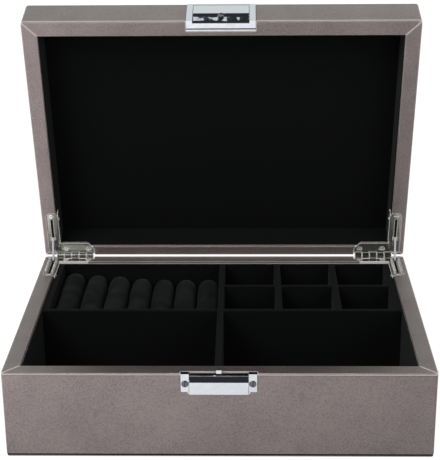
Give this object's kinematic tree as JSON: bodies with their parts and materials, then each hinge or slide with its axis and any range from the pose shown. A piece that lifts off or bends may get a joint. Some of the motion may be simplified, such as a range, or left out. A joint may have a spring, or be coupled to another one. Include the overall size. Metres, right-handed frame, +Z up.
{
  "type": "jewellery box",
  "caption": "Leather-wrapped jewellery box with a hinged lid, velvet-lined compartments, ring rolls, a push latch and friction-stay hinges.",
  "frame": {"origin": "middle of the underside, on the surface that the box stands on", "axes": "+X along the front towards the right, +Y from the front to the hinges, +Z up; the lid is open at rest"},
  "size_m": [0.28, 0.2305, 0.2641],
  "materials": {
    "leather": "pearl taupe, fine grain",
    "velvet_board": "card or board covered with black velvet",
    "velvet_roll": "black velvet over padding",
    "felt": "black felt",
    "board": "plain fibreboard, covered",
    "chrome": "polished",
    "spring_steel": "plain"
  },
  "bodies": {
    "base": {"base_front_board": "board", "base_rear_board": "board", "base_left_board": "board", "base_right_board": "board", "floor_board": "board", "plinth": "leather", "bottom_felt": "felt", "base_side_leather": "leather", "base_rim_leather": "leather", "base_wall_lining": "velvet_board", "floor_lining": "velvet_board", "main_partition": "velvet_board", "centre_divider": "velvet_board", "cross_divider": "velvet_board", "cell_divider_1": "velvet_board", "cell_divider_2": "velvet_board", "roll_end_board": "velvet_board", "cell_end_board": "velvet_board", "roll_bed": "velvet_roll", "ring_roll_1": "velvet_roll", "ring_roll_2": "velvet_roll", "ring_roll_3": "velvet_roll", "ring_roll_4": "velvet_roll", "ring_roll_5": "velvet_roll", "ring_roll_6": "velvet_roll", "ring_roll_7": "velvet_roll", "left_hinge_base_leaf": "chrome", "right_hinge_base_leaf": "chrome", "left_hinge_pin": "chrome", "right_hinge_pin": "chrome", "base_hinge_screws": "chrome", "latch_case": "chrome", "latch_rocker_pin": "chrome", "latch_spring": "spring_steel", "latch_screws": "chrome"},
    "lid": {"lid_front_board": "board", "lid_rear_board": "board", "lid_left_board": "board", "lid_right_board": "board", "lid_top_board": "board", "lid_leather": "leather", "lid_rim_leather": "leather", "lid_wall_lining": "velvet_board", "lid_panel": "velvet_board", "left_hinge_lid_leaf": "chrome", "right_hinge_lid_leaf": "chrome", "left_stay_pivot": "chrome", "right_stay_pivot": "chrome", "lid_hinge_screws": "chrome", "striker_frame": "chrome", "striker_insert": "chrome", "striker_rivet": "chrome"},
    "press_plate": {"latch_press_plate": "chrome", "latch_hook": "chrome"},
    "left_stay": {"left_stay_link": "chrome", "left_stay_slide_pin": "chrome"},
    "right_stay": {"right_stay_link": "chrome", "right_stay_slide_pin": "chrome"}
  },
  "joints": [
    {"name": "lid_hinge", "type": "hinge", "parent": "base", "child": "lid", "pos_m": [0, 0.1005, 0.062], "axis": [1, 0, 0], "range_deg": [0, 76]},
    {"name": "left_stay_pivot", "type": "hinge", "parent": "lid", "child": "left_stay", "pos_m": [-0.1328, 0.09675, 0.07704], "axis": [1, 0, 0], "range_deg": [-152, 0]},
    {"name": "right_stay_pivot", "type": "hinge", "parent": "lid", "child": "right_stay", "pos_m": [0.1328, 0.09675, 0.07704], "axis": [1, 0, 0], "range_deg": [-152, 0]},
    {"name": "latch_press", "type": "hinge", "parent": "base", "child": "press_plate", "pos_m": [0, -0.0989, 0.0543], "axis": [1, 0, 0], "range_deg": [0, 8.5], "stiffness_Nm_per_rad": 0.03, "deforming": ["latch_spring"]}
  ],
  "couplings": [
    {"joint": "left_stay_pivot", "follows": "lid_hinge", "ratio": -2},
    {"joint": "right_stay_pivot", "follows": "lid_hinge", "ratio": -2}
  ]
}
